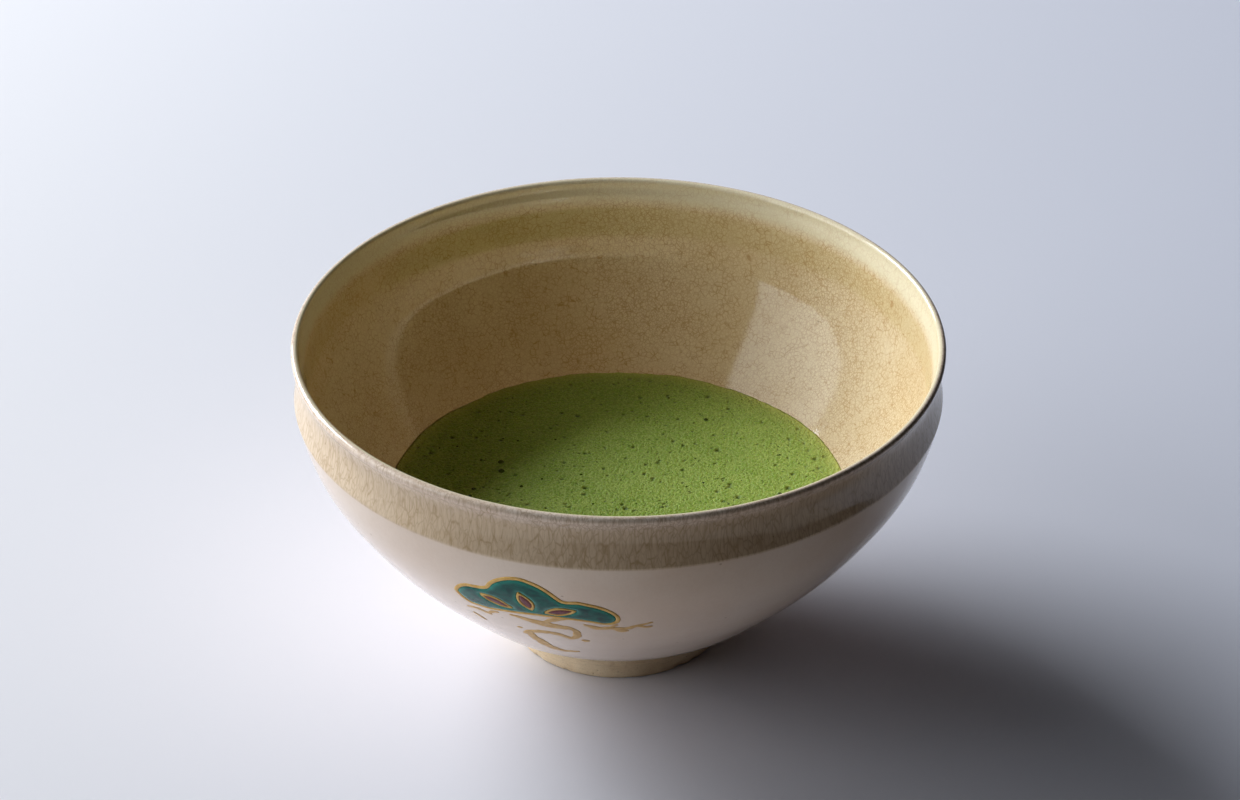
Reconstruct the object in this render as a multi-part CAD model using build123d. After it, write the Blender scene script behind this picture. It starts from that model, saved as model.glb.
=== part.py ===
from build123d import *
import math
import os

# A footed tea bowl: a thrown stoneware wall on a turned foot ring, one glaze
# coat poured inside and one dipped outside that meet on the lip, a small pine
# painted in raised enamel and gilding on the outside wall, and a serving of
# whisked tea with its foam lying in the hollow.
# Millimetres, +Z up. The origin is on the plane the foot stands on, on the
# bowl's axis. The painted side faces -Y.

# ---------------------------------------------------------------- dimensions
LIP_R = 61.76            # radius of the lip's crest circle
LIP_H = 64.60            # height of the centre of the lip's rounding
LIP_ROUND = 0.80         # rounding radius of the glazed lip
GLAZE_T = 0.35           # thickness of either glaze coat

RIDGE_R = 62.35          # the crisp ridge where neck and belly meet, outside
RIDGE_H = 54.37

# belly, outside of the outer glaze, from the glaze line up to the ridge
BELLY = [(24.60, 7.62), (28.45, 9.86), (32.54, 12.56), (40.17, 19.43),
         (47.60, 27.25), (54.14, 35.77), (59.45, 44.84), (RIDGE_R, RIDGE_H)]
# neck, outside: a shallow waist between the ridge and the rolled lip
NECK = [(RIDGE_R, RIDGE_H), (61.98, 55.80), (61.58, 57.50), (61.30, 59.20),
        (61.24, 60.80), (61.46, 62.20), (61.96, 63.40),
        (LIP_R + LIP_ROUND, LIP_H)]
# inside of the inner glaze, from the lip down to the well: a band that leans
# in under the lip, a shallow hollow opposite the ridge, then the bowl
HOLLOW = [(LIP_R - LIP_ROUND, LIP_H), (60.42, 62.60), (60.02, 60.80),
          (59.80, 59.00), (59.58, 56.00), (59.38, 54.00), (59.10, 52.30),
          (58.48, 50.00), (57.72, 47.90), (56.10, 44.60), (50.20, 35.77),
          (44.53, 29.20), (38.40, 23.55), (31.00, 18.60), (22.00, 14.30),
          (11.50, 11.35), (0.0, 10.50)]

FOOT_R_BASE = 20.90      # outside radius of the foot where it stands
FOOT_R_TOP = 21.70       # outside radius of the foot at the joint
FOOT_IN_BASE = 16.40     # inside radius of the foot where it stands
FOOT_IN_TOP = 15.90
FOOT_H = 5.20            # height of the foot ring
FOOT_EDGE = 0.60         # worn rounding of the foot's standing edges
FOOT_CORNER = (22.00, 6.22)   # where the underside of the belly starts
WELL_UNDER = 5.75        # height of the underside of the floor on the axis

TEA_TOP = 26.70          # liquid tea up to here
FOAM_TOP = 29.20         # foam from there up to here

# painted pine: place on the wall and thickness of its layers
MOTIF_AZ = -15.63        # degrees round +Z from -Y, towards +X positive
MOTIF_H = 38.0           # height of the middle of the motif on the wall
ENAMEL_T = 0.45          # raised green enamel
PURPLE_T = 0.32          # purple enamel in the three windows
GOLD_T = 0.15            # gilding
OUTLINE_W = 0.85         # width of the gold line round the cloud
WINDOW_W = 0.55          # width of the gold line round each window

# Outlines on the wall, in mm: u runs round the wall to the right, w runs up
# the wall along its meridian. u = 0 is the motif's azimuth; w is measured
# from the glaze line.
CLOUD = [(-15.5, 47.7), (-15.2, 49.3), (-14.2, 50.6), (-12.8, 51.5),
         (-11.3, 51.8), (-9.7, 52.1), (-8.6, 52.7), (-7.9, 54.0),
         (-6.8, 55.2), (-5.3, 56.3), (-3.5, 57.1), (-1.4, 57.4),
         (0.7, 56.8), (2.6, 55.8), (4.2, 54.4), (5.5, 52.8), (6.4, 52.0),
         (7.6, 52.0), (9.2, 52.1), (10.9, 51.6), (12.5, 50.8),
         (13.9, 49.6), (15.0, 48.0), (15.4, 46.4), (15.0, 44.9),
         (14.0, 43.7), (12.5, 43.4), (10.6, 43.8), (8.0, 44.4),
         (5.2, 44.7), (2.4, 44.8), (-0.4, 44.7), (-3.2, 44.2),
         (-6.0, 43.7), (-8.9, 43.0), (-11.3, 43.0), (-13.1, 43.9),
         (-14.6, 45.6)]
WINDOWS = {
    "left": [(-10.1, 49.5), (-8.3, 49.4), (-6.6, 48.7), (-5.2, 47.6),
             (-4.0, 46.4), (-5.6, 46.5), (-7.2, 47.1), (-8.8, 48.1)],
    "centre": [(-2.1, 53.0), (-1.0, 52.4), (0.2, 51.2), (0.7, 49.7),
               (0.5, 48.2), (-0.2, 47.0), (-1.5, 47.9), (-2.5, 49.3),
               (-2.8, 51.2)],
    "right": [(2.1, 46.7), (3.2, 48.0), (4.7, 48.9), (6.4, 49.2),
              (8.3, 48.9), (7.2, 47.7), (5.6, 46.8), (3.8, 46.4)],
}
# brush strokes: centre line points with the stroke's width at each
TRUNK = [
    [(-6.2, 42.6, 0.5), (-4.4, 42.0, 0.8), (-2.2, 41.2, 1.1),
     (0.2, 40.3, 1.5), (2.6, 39.6, 1.7), (4.6, 39.2, 1.8),
     (5.9, 38.0, 2.0), (5.8, 36.4, 2.1), (5.0, 34.6, 1.7),
     (3.8, 33.4, 1.3)],
    [(-3.6, 34.9, 0.7), (-1.8, 35.9, 0.9), (0.2, 36.2, 0.9),
     (2.2, 35.9, 1.0), (4.4, 35.2, 1.1)],
    [(-3.8, 34.6, 0.7), (-2.9, 32.0, 0.9), (-1.8, 29.2, 1.1),
     (-0.6, 26.4, 1.3), (0.8, 23.9, 1.4), (2.6, 22.4, 1.2),
     (4.6, 22.0, 0.8), (7.0, 22.2, 0.4)],
    [(0.9, 40.2, 0.8), (2.2, 41.9, 0.8), (3.9, 42.9, 0.6),
     (5.4, 42.9, 0.3)],
]
LEFT_TWIGS = [
    [(-14.4, 40.4, 0.35), (-12.6, 40.9, 0.55), (-11.0, 40.4, 0.6),
     (-9.8, 39.9, 0.5)],
    [(-10.2, 40.0, 0.4), (-9.2, 41.4, 0.6), (-7.9, 42.1, 0.4)],
    [(-13.9, 37.4, 0.3), (-12.7, 36.0, 0.5), (-11.9, 34.9, 0.3)],
]
RIGHT_BRANCH = [
    [(8.9, 42.4, 0.4), (10.1, 41.5, 0.8), (11.6, 40.9, 0.9),
     (13.2, 41.3, 0.7), (14.6, 40.9, 0.9), (16.3, 41.0, 0.7),
     (18.0, 42.0, 0.6), (19.6, 42.8, 0.5), (21.4, 43.7, 0.3)],
    [(14.5, 40.7, 0.7), (15.2, 39.9, 0.9), (16.2, 39.9, 0.5)],
    [(18.6, 42.2, 0.4), (20.0, 41.5, 0.6), (21.1, 41.7, 0.3)],
    [(13.2, 41.4, 0.4), (14.2, 42.4, 0.5), (14.9, 42.9, 0.3)],
]
DOTS = [(-5.2, 35.1, 0.75), (7.0, 32.3, 0.85)]    # u, w, radius

os.makedirs("parts", exist_ok=True)


# ------------------------------------------------------------ section curves
def at(r, h):
    return (r, 0.0, h)


def normals(points, ends=(None, None)):
    """Unit normals of a section polyline, to the right of its direction."""
    out = []
    n = len(points)
    for i in range(n):
        a = points[max(i - 1, 0)]
        b = points[min(i + 1, n - 1)]
        dr, dh = b[0] - a[0], b[1] - a[1]
        if i == 0 and ends[0]:
            dr, dh = ends[0]
        if i == n - 1 and ends[1]:
            dr, dh = ends[1]
        length = math.hypot(dr, dh)
        out.append((dh / length, -dr / length))
    return out


def offset(points, distance, ends=(None, None)):
    """Points moved to the right of the polyline's direction."""
    return [(p[0] + distance * q[0], p[1] + distance * q[1])
            for p, q in zip(points, normals(points, ends))]


def curve(points, tangents=None):
    pts = [at(*p) for p in points]
    if tangents is None:
        return Spline(*pts)
    return Spline(*pts, tangents=[at(*t) for t in tangents])


def line(a, b):
    return Line(at(*a), at(*b))


def spin(edges):
    """Solid of revolution of a closed section round the bowl's axis."""
    return revolve(make_face(Wire(edges)), axis=Axis.Z)


# directions in which the splines leave their ends
BELLY_START = (0.885, 0.465)
BELLY_END = (0.215, 0.977)
NECK_START = (-0.25, 0.968)
NECK_END = (0.0, 1.0)
HOLLOW_START = (0.0, -1.0)
HOLLOW_END = (-1.0, 0.0)

# faces of the glaze seen from outside and from inside
belly_out = curve(BELLY, (BELLY_START, BELLY_END))
neck_out = curve(NECK, (NECK_START, NECK_END))
hollow_in = curve(HOLLOW, (HOLLOW_START, HOLLOW_END))
crest = (LIP_R, LIP_H + LIP_ROUND)
lip_o, lip_i = NECK[-1], HOLLOW[0]
c45 = math.sqrt(0.5)
lip_arc_out = ThreePointArc(
    at(*lip_o), at(LIP_R + LIP_ROUND * c45, LIP_H + LIP_ROUND * c45), at(*crest))
lip_arc_in = ThreePointArc(
    at(*crest), at(LIP_R - LIP_ROUND * c45, LIP_H + LIP_ROUND * c45), at(*lip_i))

# faces of the clay under the glaze
CORE = LIP_ROUND - GLAZE_T
belly_clay_pts = offset(BELLY, -GLAZE_T, (BELLY_START, BELLY_END))
neck_clay_pts = offset(NECK, -GLAZE_T, (NECK_START, (0.0, 1.0)))
ridge_core = (RIDGE_R - 1.02 * GLAZE_T, RIDGE_H)
belly_clay_pts[-1] = ridge_core
neck_clay_pts[0] = ridge_core
neck_clay_pts[-1] = (LIP_R + CORE, LIP_H)
hollow_clay_pts = offset(HOLLOW, -GLAZE_T, ((0.0, -1.0), HOLLOW_END))
hollow_clay_pts[0] = (LIP_R - CORE, LIP_H)
hollow_clay_pts[-1] = (0.0, HOLLOW[-1][1] - GLAZE_T)
belly_clay = curve(belly_clay_pts, (BELLY_START, BELLY_END))
neck_clay = curve(neck_clay_pts, (NECK_START, NECK_END))
hollow_clay = curve(hollow_clay_pts, (HOLLOW_START, HOLLOW_END))
crest_core = (LIP_R, LIP_H + CORE)
core_arc_out = ThreePointArc(
    at(LIP_R + CORE, LIP_H), at(LIP_R + CORE * c45, LIP_H + CORE * c45),
    at(*crest_core))
core_arc_in = ThreePointArc(
    at(*crest_core), at(LIP_R - CORE * c45, LIP_H + CORE * c45),
    at(LIP_R - CORE, LIP_H))
crest_line = line(crest, crest_core)
glaze_edge = line(BELLY[0], belly_clay_pts[0])

# ------------------------------------------------------------------ the bowl
outer_glaze = spin([belly_out, neck_out, lip_arc_out, crest_line,
                    core_arc_out, neck_clay, belly_clay, glaze_edge])
inner_glaze = spin([hollow_in, lip_arc_in, crest_line, core_arc_in,
                    hollow_clay, line((0.0, HOLLOW[-1][1]),
                                      hollow_clay_pts[-1])])
floor_under = curve([(0.0, WELL_UNDER), (6.0, WELL_UNDER - 0.09),
                     (11.5, FOOT_H + 0.2), (FOOT_IN_TOP, FOOT_H)],
                    ((1.0, 0.0), (1.0, -0.09)))
clay_body = spin([
    floor_under,
    line((FOOT_IN_TOP, FOOT_H), (FOOT_R_TOP, FOOT_H)),
    line((FOOT_R_TOP, FOOT_H), FOOT_CORNER),
    line(FOOT_CORNER, belly_clay_pts[0]),
    belly_clay, neck_clay, core_arc_out, core_arc_in, hollow_clay,
    line(hollow_clay_pts[-1], (0.0, WELL_UNDER)),
])

# the foot ring, with its standing edges worn round
ring_section = make_face(Wire([
    line((FOOT_IN_BASE, 0.0), (FOOT_R_BASE, 0.0)),
    line((FOOT_R_BASE, 0.0), (FOOT_R_TOP, FOOT_H)),
    line((FOOT_R_TOP, FOOT_H), (FOOT_IN_TOP, FOOT_H)),
    line((FOOT_IN_TOP, FOOT_H), (FOOT_IN_BASE, 0.0)),
]))
ring_section = fillet(ring_section.vertices().sort_by(Axis.Z)[:2], FOOT_EDGE)
foot_ring = revolve(ring_section, axis=Axis.Z)

# -------------------------------------------------------------- the contents
hollow_space = spin([hollow_in, line(lip_i, (0.0, LIP_H)),
                     line((0.0, LIP_H), (0.0, HOLLOW[-1][1]))])
matcha_tea = hollow_space & Pos(0, 0, TEA_TOP / 2) * Box(200, 200, TEA_TOP)
matcha_foam = hollow_space & Pos(0, 0, (TEA_TOP + FOAM_TOP) / 2) * Box(
    200, 200, FOAM_TOP - TEA_TOP)

# ---------------------------------------------------------- the painted pine
# arc length up the belly against height, sampled from the belly's own curve
_samples = [belly_out @ (i / 400) for i in range(401)]
_table = [(0.0, _samples[0].X, _samples[0].Z)]
for p, q in zip(_samples, _samples[1:]):
    _table.append((_table[-1][0] + math.hypot(q.X - p.X, q.Z - p.Z), q.X, q.Z))


def wall(w):
    """Radius and height of the belly at arc length w above the glaze line."""
    for a, b in zip(_table, _table[1:]):
        if b[0] >= w:
            t = (w - a[0]) / (b[0] - a[0])
            return a[1] + t * (b[1] - a[1]), a[2] + t * (b[2] - a[2])
    return _table[-1][1], _table[-1][2]


def on_wall(u, w):
    r, h = wall(w)
    az = math.radians(MOTIF_AZ) + u / r
    return Vector(r * math.sin(az), -r * math.cos(az), h)


# the plane that touches the wall at the middle of the motif
_mid = next(t for t in _table if t[2] >= MOTIF_H)
_low, _high = wall(_mid[0] - 1.0), wall(_mid[0] + 1.0)
_az = math.radians(MOTIF_AZ)
_out = Vector(math.sin(_az), -math.cos(_az), 0)
_n = (_out * (_high[1] - _low[1]) - Vector(0, 0, _high[0] - _low[0])).normalized()
_x = Vector(math.cos(_az), math.sin(_az), 0)
motif_plane = Plane(origin=on_wall(0.0, _mid[0]), x_dir=_x, z_dir=_n)


def flat(points):
    """Wall points dropped onto the touching plane, as plane coordinates."""
    out = []
    for u, w in points:
        q = motif_plane.to_local_coords(on_wall(u, w))
        out.append((q.X, q.Y))
    return out


def smooth(points, steps=3):
    """Closed Catmull-Rom refinement of an outline."""
    n = len(points)
    out = []
    for i in range(n):
        p0, p1, p2, p3 = (points[(i + k - 1) % n] for k in range(4))
        for s in range(steps):
            t = s / steps
            out.append(tuple(
                0.5 * (2 * b + (c - a) * t + (2 * a - 5 * b + 4 * c - d) * t * t
                       + (3 * b - a - 3 * c + d) * t ** 3)
                for a, b, c, d in zip(p0, p1, p2, p3)))
    return out


def shrink(points, distance):
    """Closed outline moved inwards; the outline may run either way round."""
    n = len(points)
    area = sum(points[i][0] * points[(i + 1) % n][1]
               - points[(i + 1) % n][0] * points[i][1] for i in range(n))
    sign = 1.0 if area > 0 else -1.0
    out = []
    for i in range(n):
        a, b = points[i - 1], points[(i + 1) % n]
        du, dw = b[0] - a[0], b[1] - a[1]
        length = math.hypot(du, dw)
        out.append((points[i][0] - sign * distance * dw / length,
                    points[i][1] + sign * distance * du / length))
    return out


def inset_lens(points, distance):
    """A long pointed outline made smaller all round by about the distance."""
    n = len(points)
    cu = sum(p[0] for p in points) / n
    cw = sum(p[1] for p in points) / n
    uu = sum((p[0] - cu) ** 2 for p in points)
    ww = sum((p[1] - cw) ** 2 for p in points)
    uw = sum((p[0] - cu) * (p[1] - cw) for p in points)
    turn = 0.5 * math.atan2(2 * uw, uu - ww)
    c, s = math.cos(turn), math.sin(turn)
    along = [(p[0] - cu) * c + (p[1] - cw) * s for p in points]
    across = [-(p[0] - cu) * s + (p[1] - cw) * c for p in points]
    long_, wide = max(along) - min(along), max(across) - min(across)
    ka, kc = 1 - 3.2 * distance / long_, 1 - 2 * distance / wide
    return [(cu + a * ka * c - b * kc * s, cw + a * ka * s + b * kc * c)
            for a, b in zip(along, across)]


def stroke(points):
    """Outline of a brush stroke with round ends."""
    fine = []
    for i in range(len(points) - 1):
        p0, p1 = points[max(i - 1, 0)], points[i]
        p2, p3 = points[i + 1], points[min(i + 2, len(points) - 1)]
        for s in range(3):
            t = s / 3
            fine.append(tuple(
                0.5 * (2 * b + (c - a) * t + (2 * a - 5 * b + 4 * c - d) * t * t
                       + (3 * b - a - 3 * c + d) * t ** 3)
                for a, b, c, d in zip(p0, p1, p2, p3)))
    fine.append(points[-1])
    left, right, heads = [], [], []
    for i, (u, w, width) in enumerate(fine):
        a, b = fine[max(i - 1, 0)], fine[min(i + 1, len(fine) - 1)]
        du, dw = b[0] - a[0], b[1] - a[1]
        length = math.hypot(du, dw)
        du, dw = du / length, dw / length
        left.append((u - dw * width / 2, w + du * width / 2))
        right.append((u + dw * width / 2, w - du * width / 2))
        heads.append((u, w, width, du, dw))
    end, start = [], []
    u, w, width, du, dw = heads[-1]
    for k in (45, 90, 135):
        c, s = math.cos(math.radians(k)), math.sin(math.radians(k))
        end.append((u + width / 2 * (s * du - c * dw),
                    w + width / 2 * (s * dw + c * du)))
    u, w, width, du, dw = heads[0]
    for k in (45, 90, 135):
        c, s = math.cos(math.radians(k)), math.sin(math.radians(k))
        start.append((u - width / 2 * (s * du - c * dw),
                      w - width / 2 * (s * dw + c * du)))
    return left + end + right[::-1] + start


def prism(points):
    """The outline swept through the wall along the touching plane's normal."""
    face = make_face(Polyline(*flat(points), close=True))
    return motif_plane * (Pos(0, 0, -14) * extrude(face, amount=20))


def skin(thickness):
    """A coat of the given thickness all round the belly's glazed face."""
    outer_pts = offset(BELLY, thickness, (BELLY_START, BELLY_END))
    outer_curve = curve(outer_pts, (BELLY_START, BELLY_END))
    return spin([belly_out, line(BELLY[-1], outer_pts[-1]), outer_curve,
                 line(outer_pts[0], BELLY[0])])


def merged(shapes):
    whole = shapes[0]
    for shape in shapes[1:]:
        whole = whole + shape
    return whole


def painted(strokes):
    """Gilded strokes on the wall, joined where they cross, off the cloud."""
    return merged([(gold_skin & prism(stroke(s))) for s in strokes]) - cloud_prism


cloud = smooth(CLOUD)
cloud_prism = prism(cloud)
cloud_inner = prism(shrink(cloud, OUTLINE_W))
windows = {k: smooth(v) for k, v in WINDOWS.items()}
window_prisms = {k: prism(v) for k, v in windows.items()}
window_inner = {k: prism(inset_lens(v, WINDOW_W)) for k, v in windows.items()}

gold_skin = skin(GOLD_T)
enamel_skin = skin(ENAMEL_T)
purple_skin = skin(PURPLE_T)

parts = {
    "clay_body": clay_body,
    "foot_ring": foot_ring,
    "outer_glaze": outer_glaze,
    "inner_glaze": inner_glaze,
    "matcha_tea": matcha_tea,
    "matcha_foam": matcha_foam,
    "pine_foliage_enamel": (enamel_skin & cloud_inner) - [
        window_prisms[k] for k in windows],
    "gold_cloud_outline": (gold_skin & cloud_prism) - cloud_inner,
    "gold_trunk": painted(TRUNK),
    "gold_left_twigs": painted(LEFT_TWIGS),
    "gold_right_branch": painted(RIGHT_BRANCH),
    "gold_window_outlines": Compound(children=[
        s for k in windows
        for s in ((gold_skin & window_prisms[k]) - window_inner[k]).solids()]),
    "gold_dots": Compound(children=[
        s for u, w, rad in DOTS for s in (gold_skin & prism([
            (u + rad * math.cos(math.radians(a)),
             w + rad * math.sin(math.radians(a)))
            for a in range(0, 360, 20)])).solids()]),
}
for side in windows:
    parts[f"purple_enamel_{side}"] = purple_skin & window_inner[side]

for node, solid in parts.items():
    pieces = solid.solids()
    export_step(Compound(children=pieces) if len(pieces) > 1 else pieces[0],
                f"parts/{node}.step")
    print(node, len(pieces), round(sum(s.volume for s in pieces), 3))

print("tea and foam, ml:", round((matcha_tea.volume + matcha_foam.volume) / 1000, 1))
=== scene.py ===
import math

import bpy
import numpy as np
from mathutils import Matrix, Vector
from mathutils.geometry import delaunay_2d_cdt


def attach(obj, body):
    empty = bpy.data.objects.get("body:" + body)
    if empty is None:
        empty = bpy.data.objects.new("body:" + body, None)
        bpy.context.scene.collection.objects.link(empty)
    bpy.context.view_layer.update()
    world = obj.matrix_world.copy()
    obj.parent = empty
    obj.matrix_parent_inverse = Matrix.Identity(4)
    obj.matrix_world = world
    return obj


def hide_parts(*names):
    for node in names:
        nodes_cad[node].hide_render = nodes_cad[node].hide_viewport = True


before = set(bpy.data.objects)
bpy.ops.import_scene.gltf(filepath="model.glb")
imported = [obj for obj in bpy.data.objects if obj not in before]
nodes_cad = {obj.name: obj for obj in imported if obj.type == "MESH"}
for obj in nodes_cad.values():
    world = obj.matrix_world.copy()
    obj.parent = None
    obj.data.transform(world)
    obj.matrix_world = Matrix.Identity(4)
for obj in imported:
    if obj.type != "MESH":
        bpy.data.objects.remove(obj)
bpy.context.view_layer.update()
scene = bpy.context.scene
MM = 0.001

# ------------------------------------------------------------------ sections
# the bowl's section in mm, (radius, height), the same points as the CAD has
LIP_R, LIP_H, LIP_ROUND, GLAZE_T = 61.76, 64.60, 0.80, 0.35
BELLY = [(24.60, 7.62), (28.45, 9.86), (32.54, 12.56), (40.17, 19.43),
         (47.60, 27.25), (54.14, 35.77), (59.45, 44.84), (62.35, 54.37)]
NECK = [(62.35, 54.37), (61.98, 55.80), (61.58, 57.50), (61.30, 59.20),
        (61.24, 60.80), (61.46, 62.20), (61.96, 63.40), (62.56, 64.60)]
HOLLOW = [(60.96, 64.60), (60.42, 62.60), (60.02, 60.80), (59.80, 59.00),
          (59.58, 56.00), (59.38, 54.00), (59.10, 52.30), (58.48, 50.00),
          (57.72, 47.90), (56.10, 44.60), (50.20, 35.77), (44.53, 29.20),
          (38.40, 23.55), (31.00, 18.60), (22.00, 14.30), (11.50, 11.35),
          (0.0, 10.50)]
FOOT_R_BASE, FOOT_R_TOP, FOOT_IN_BASE, FOOT_IN_TOP = 20.90, 21.70, 16.40, 15.90
FOOT_H, FOOT_EDGE, FOOT_CORNER, WELL_UNDER = 5.20, 0.60, (22.00, 6.22), 5.75
FOAM_TOP = 29.20
MOTIF_AZ = math.radians(-15.63)


def spline(points, start, end, step):
    """Points about step apart along the clamped cubic through points, with unit tangents."""
    p = np.array(points, float)
    t = np.concatenate([[0], np.cumsum(np.hypot(*np.diff(p, axis=0).T))])
    n = len(p)
    a, b = np.zeros((n, n)), np.zeros((n, 2))
    a[0, 0] = a[-1, -1] = 1
    b[0], b[-1] = np.array(start) / np.hypot(*start), np.array(end) / np.hypot(*end)
    for i in range(1, n - 1):
        h0, h1 = t[i] - t[i - 1], t[i + 1] - t[i]
        a[i, i - 1], a[i, i], a[i, i + 1] = h1, 2 * (h0 + h1), h0
        b[i] = 3 * (h1 * (p[i] - p[i - 1]) / h0 + h0 * (p[i + 1] - p[i]) / h1)
    m = np.linalg.solve(a, b)
    count = max(2, int(round(t[-1] / step)) + 1)
    out = []
    for x in np.linspace(0, t[-1], count):
        i = min(max(np.searchsorted(t, x, side="right") - 1, 0), n - 2)
        h = t[i + 1] - t[i]
        s = (x - t[i]) / h
        out.append((2 * s**3 - 3 * s**2 + 1) * p[i] + (s**3 - 2 * s**2 + s) * h * m[i]
                   + (-2 * s**3 + 3 * s**2) * p[i + 1] + (s**3 - s**2) * h * m[i + 1])
    return np.array(out)


def arc(cr, ch, radius, a0, a1, count):
    a = np.radians(np.linspace(a0, a1, count))
    return np.stack([cr + radius * np.cos(a), ch + radius * np.sin(a)], -1)


belly = spline(BELLY, (0.885, 0.465), (0.215, 0.977), 0.55)
neck = spline(NECK, (-0.25, 0.968), (0.0, 1.0), 0.30)
hollow = spline(HOLLOW, (0.0, -1.0), (-1.0, 0.0), 0.55)
lip_out = arc(LIP_R, LIP_H, LIP_ROUND, 0, 90, 14)
lip_in = arc(LIP_R, LIP_H, LIP_ROUND, 90, 180, 14)
belly_fine = spline(BELLY, (0.885, 0.465), (0.215, 0.977), 0.1)
belly_arc = np.concatenate([[0], np.cumsum(np.hypot(*np.diff(belly_fine, axis=0).T))])


def pushed(p, distance):
    """A section line moved to the right of its direction."""
    d = np.gradient(p, axis=0)
    d /= np.hypot(d[:, 0], d[:, 1])[:, None]
    return p + distance * np.stack([d[:, 1], -d[:, 0]], -1)


# --------------------------------------------------------------- small noise
def _hash(i, j, k, seed):
    n = (i * 374761393 + j * 668265263 + k * 2147483647 + seed * 974634777) & 0xFFFFFFFF
    n = ((n ^ (n >> 13)) * 1274126177) & 0xFFFFFFFF
    return ((n ^ (n >> 16)) & 0xFFFFFF) / float(0xFFFFFF) * 2 - 1


def vnoise(p, size, seed):
    """Smooth value noise from -1 to 1 at points p, with cells of the given size."""
    q = np.asarray(p, float) / size
    i = np.floor(q).astype(np.int64)
    f = q - i
    f = f * f * f * (f * (f * 6 - 15) + 10)
    out = 0
    for dx in (0, 1):
        for dy in (0, 1):
            for dz in (0, 1):
                w = (np.where(dx, f[..., 0], 1 - f[..., 0])
                     * np.where(dy, f[..., 1], 1 - f[..., 1])
                     * np.where(dz, f[..., 2], 1 - f[..., 2]))
                out = out + w * _hash(i[..., 0] + dx, i[..., 1] + dy, i[..., 2] + dz, seed)
    return out


def fractal(p, size, seed, octaves=3):
    out, amp = 0, 1.0
    for o in range(octaves):
        out = out + amp * vnoise(p, size / 2**o, seed + 17 * o)
        amp *= 0.5
    return out / 1.75


# ------------------------------------------------------------- mesh building
def new_object(name, verts, faces, smooth=True):
    mesh = bpy.data.meshes.new(name)
    mesh.from_pydata([tuple(v) for v in verts], [], faces)
    mesh.validate()
    obj = bpy.data.objects.new(name, mesh)
    scene.collection.objects.link(obj)
    if smooth:
        mesh.polygons.foreach_set("use_smooth", [True] * len(mesh.polygons))
    return obj


def numbers(obj, name, values):
    """Keeps one number, or one vector, for each vertex of the mesh."""
    values = np.asarray(values, np.float32)
    kind = "FLOAT" if values.ndim == 1 else "FLOAT_VECTOR"
    attr = obj.data.attributes.new(name, kind, "POINT")
    attr.data.foreach_set("value" if values.ndim == 1 else "vector", values.ravel())


def ring_normals(grid):
    """Outward normals of a (rows, columns, 3) grid closed along its columns."""
    du = np.roll(grid, -1, 1) - np.roll(grid, 1, 1)
    dv = np.gradient(grid, axis=0)
    n = np.cross(du, dv)
    n /= np.maximum(np.linalg.norm(n, axis=2, keepdims=True), 1e-12)
    return n


def wobble(r, h, ang):
    """The small unevenness of a thrown and glazed wall, in mm, along the wall's normal."""
    p = np.stack([r * np.sin(ang), -r * np.cos(ang), h], -1)
    keep = np.clip((h - 8) / 25, 0, 1)
    slow = 0.10 * np.cos(2 * ang + 0.7) + 0.05 * np.cos(3 * ang + 2.1)
    rings = 0.0025 * np.sin(h * 1.3 + 0.35 * np.sin(ang + 1.0) + 0.5 * np.sin(h * 0.37))
    return keep * slow + rings + 0.018 * vnoise(p, 9.0, 5) + 0.003 * vnoise(p, 3.6, 9)


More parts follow.
